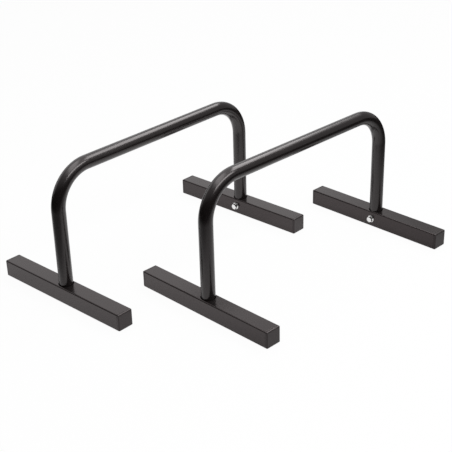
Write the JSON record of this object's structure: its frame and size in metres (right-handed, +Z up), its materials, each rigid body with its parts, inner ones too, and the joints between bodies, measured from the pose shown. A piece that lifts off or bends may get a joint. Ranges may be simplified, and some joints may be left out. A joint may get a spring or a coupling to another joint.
{
  "type": "pair of parallette bars",
  "caption": "Low steel training bars for hand balancing: bent round handrails, each bolted into crosswise square feet with plastic end caps.",
  "frame": {"origin": "on the floor, at the centre of the pair", "axes": "+Z up, +Y to the rear along the handrails, +X from the left bar to the right bar"},
  "size_m": [0.696, 0.803, 0.32],
  "materials": {
    "black_powder_coat": "satin black powder coat on steel tube",
    "black_plastic": "fine-grained moulded polyethylene",
    "bright_zinc": "bright zinc plate",
    "plain_steel": "zinc-plated steel"
  },
  "bodies": {
    "left_bar": {"left_handrail": "black_powder_coat", "left_front_foot": "black_powder_coat", "left_front_outer_cap": "black_plastic", "left_front_inner_cap": "black_plastic", "left_front_bolt": "bright_zinc", "left_front_rivet_nut": "plain_steel", "left_rear_foot": "black_powder_coat", "left_rear_outer_cap": "black_plastic", "left_rear_inner_cap": "black_plastic", "left_rear_bolt": "bright_zinc", "left_rear_rivet_nut": "plain_steel"},
    "right_bar": {"right_handrail": "black_powder_coat", "right_front_foot": "black_powder_coat", "right_front_outer_cap": "black_plastic", "right_front_inner_cap": "black_plastic", "right_front_bolt": "bright_zinc", "right_front_rivet_nut": "plain_steel", "right_rear_foot": "black_powder_coat", "right_rear_outer_cap": "black_plastic", "right_rear_inner_cap": "black_plastic", "right_rear_bolt": "bright_zinc", "right_rear_rivet_nut": "plain_steel"}
  },
  "joints": [
    {"name": "right_bar_placing", "type": "slide", "parent": "left_bar", "child": "right_bar", "axis": [0.7071, -0.7071, 0], "range_m": [0, 0.2348]}
  ]
}
